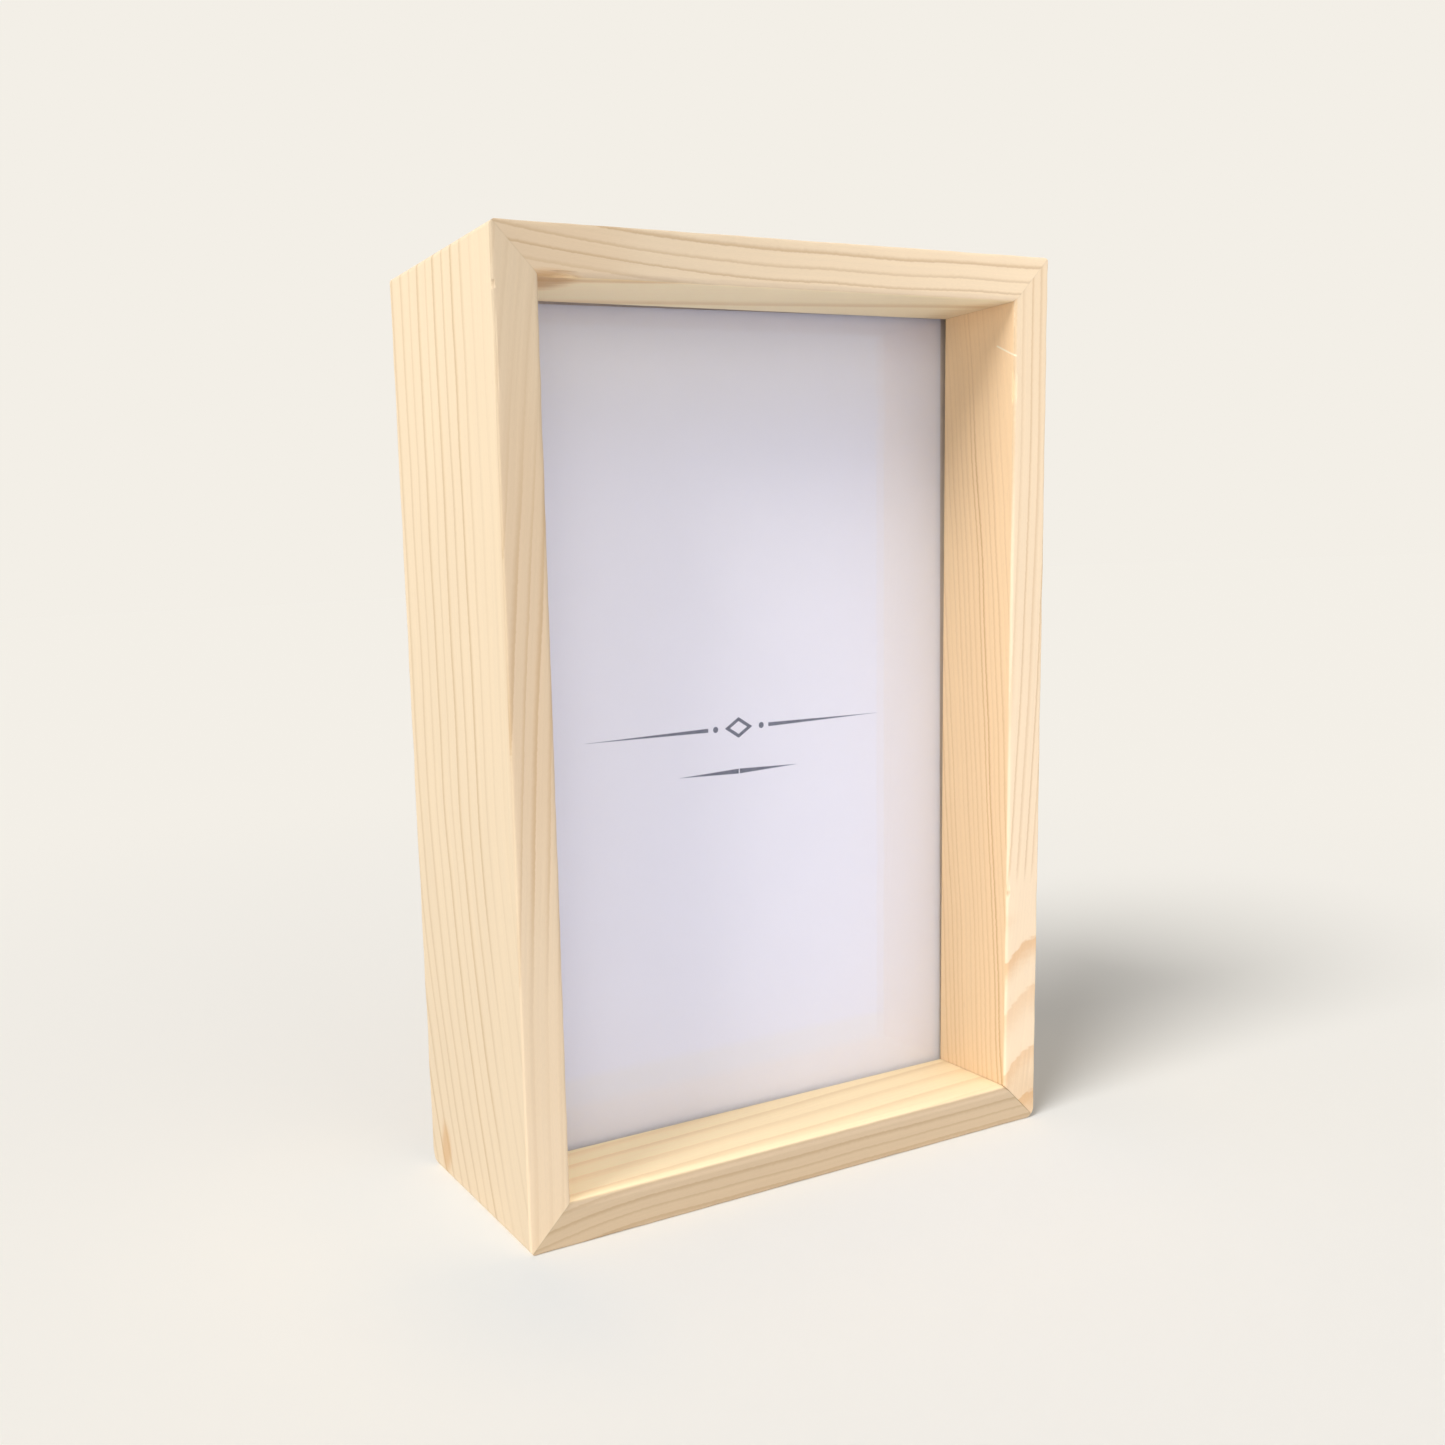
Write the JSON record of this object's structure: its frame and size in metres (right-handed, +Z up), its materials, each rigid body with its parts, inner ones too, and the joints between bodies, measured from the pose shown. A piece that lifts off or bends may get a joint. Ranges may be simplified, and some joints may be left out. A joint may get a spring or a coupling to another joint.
{
  "type": "wooden picture frame",
  "caption": "Deep self-standing pine box frame with mitred corners, a glass pane set well back, a print behind it, and a fibreboard back held by turn clips, with wall-hanging rings.",
  "frame": {"origin": "middle of the base, on the surface that the frame stands on", "axes": "+Z up, the front with the glass faces -Y, +X is the viewer's right"},
  "size_m": [0.11, 0.04, 0.16],
  "materials": {
    "pine": "raw, fine sanded",
    "steel": "zinc plated",
    "glass": "polished",
    "paper": "smooth uncoated",
    "fibreboard": "pressed, smooth",
    "brass": "brass plated"
  },
  "bodies": {
    "frame": {"top_rail": "pine", "bottom_rail": "pine", "left_stile": "pine", "right_stile": "pine", "corner_brads": "steel", "glass_pane": "glass", "print_sheet": "paper", "backing_board": "fibreboard", "clip_rivets": "steel", "portrait_hanger_strap": "brass", "landscape_hanger_strap": "brass", "hanger_rivets": "brass"},
    "upper_left_turn_clip": {"upper_left_turn_clip": "steel"},
    "upper_right_turn_clip": {"upper_right_turn_clip": "steel"},
    "lower_left_turn_clip": {"lower_left_turn_clip": "steel"},
    "lower_right_turn_clip": {"lower_right_turn_clip": "steel"},
    "portrait_hanger_ring": {"portrait_hanger_ring": "brass"},
    "landscape_hanger_ring": {"landscape_hanger_ring": "brass"}
  },
  "joints": [
    {"name": "upper_left_clip_turn", "type": "hinge", "parent": "frame", "child": "upper_left_turn_clip", "pos_m": [-0.041, 0.0024, 0.1195], "axis": [0, 1, 0], "continuous": true},
    {"name": "upper_right_clip_turn", "type": "hinge", "parent": "frame", "child": "upper_right_turn_clip", "pos_m": [0.041, 0.0024, 0.1195], "axis": [0, 1, 0], "continuous": true},
    {"name": "lower_left_clip_turn", "type": "hinge", "parent": "frame", "child": "lower_left_turn_clip", "pos_m": [-0.041, 0.0024, 0.0395], "axis": [0, 1, 0], "continuous": true},
    {"name": "lower_right_clip_turn", "type": "hinge", "parent": "frame", "child": "lower_right_turn_clip", "pos_m": [0.041, 0.0024, 0.0395], "axis": [0, 1, 0], "continuous": true},
    {"name": "portrait_ring_swing", "type": "hinge", "parent": "frame", "child": "portrait_hanger_ring", "pos_m": [0, 0.00378, 0.1345], "axis": [1, 0, 0], "range_deg": [-2, 182]},
    {"name": "landscape_ring_swing", "type": "hinge", "parent": "frame", "child": "landscape_hanger_ring", "pos_m": [-0.03, 0.00378, 0.0795], "axis": [0, 0, 1], "range_deg": [-2, 182]}
  ]
}
